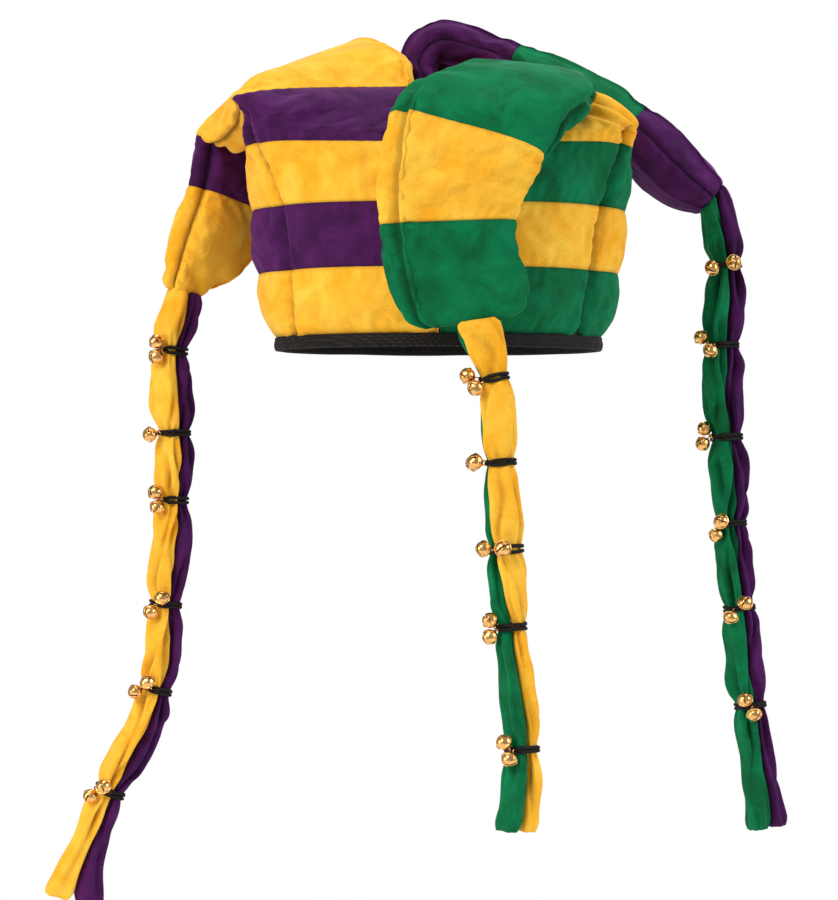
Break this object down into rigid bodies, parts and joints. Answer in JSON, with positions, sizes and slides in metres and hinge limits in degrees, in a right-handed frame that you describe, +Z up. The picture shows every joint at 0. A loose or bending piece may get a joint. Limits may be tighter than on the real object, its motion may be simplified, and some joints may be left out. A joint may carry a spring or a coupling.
{
  "type": "jester hat",
  "caption": "Padded velvet jester hat in gold, purple and green blocks, with folded horns that end in soft tails gathered by elastics with small jingle bells.",
  "frame": {"origin": "centre of the head opening, at the lower edge of the rim", "axes": "+Z up out of the crown, -Y towards the side with the folded front horn, +X to the viewer's right seen from that side"},
  "size_m": [0.4349, 0.2729, 0.524],
  "materials": {
    "gold_velvet": "velvet",
    "purple_velvet": "velvet",
    "green_velvet": "velvet",
    "black_binding": "matte",
    "brass_bells": "polished"
  },
  "bodies": {
    "root": {"rim_binding": "black_binding", "left_stripe_1": "gold_velvet", "left_stripe_2": "purple_velvet", "left_stripe_3": "gold_velvet", "left_stripe_4": "purple_velvet", "left_stripe_5": "gold_velvet", "left_stripe_6": "purple_velvet", "left_stripe_7": "gold_velvet", "left_tail_gold": "gold_velvet", "left_tail_purple": "purple_velvet", "left_bells_1": "brass_bells", "left_bells_2": "brass_bells", "left_bells_3": "brass_bells", "left_bells_4": "brass_bells", "left_bells_5": "brass_bells", "left_bells_6": "brass_bells", "front_stripe_1": "green_velvet", "front_stripe_2": "gold_velvet", "front_stripe_3": "green_velvet", "front_stripe_4": "gold_velvet", "front_stripe_5": "green_velvet", "front_stripe_6": "gold_velvet", "front_stripe_7": "green_velvet", "front_tail_green": "green_velvet", "front_tail_gold": "gold_velvet", "front_bells_1": "brass_bells", "front_bells_2": "brass_bells", "front_bells_3": "brass_bells", "front_bells_4": "brass_bells", "front_bells_5": "brass_bells", "back_stripe_1": "purple_velvet", "back_stripe_2": "green_velvet", "back_stripe_3": "purple_velvet", "back_stripe_4": "green_velvet", "back_stripe_5": "purple_velvet", "back_stripe_6": "green_velvet", "back_stripe_7": "purple_velvet", "back_tail_green": "green_velvet", "back_tail_purple": "purple_velvet", "back_bells_1": "brass_bells", "back_bells_2": "brass_bells", "back_bells_3": "brass_bells", "back_bells_4": "brass_bells", "back_bells_5": "brass_bells", "back_bells_6": "brass_bells"}
  },
  "joints": []
}
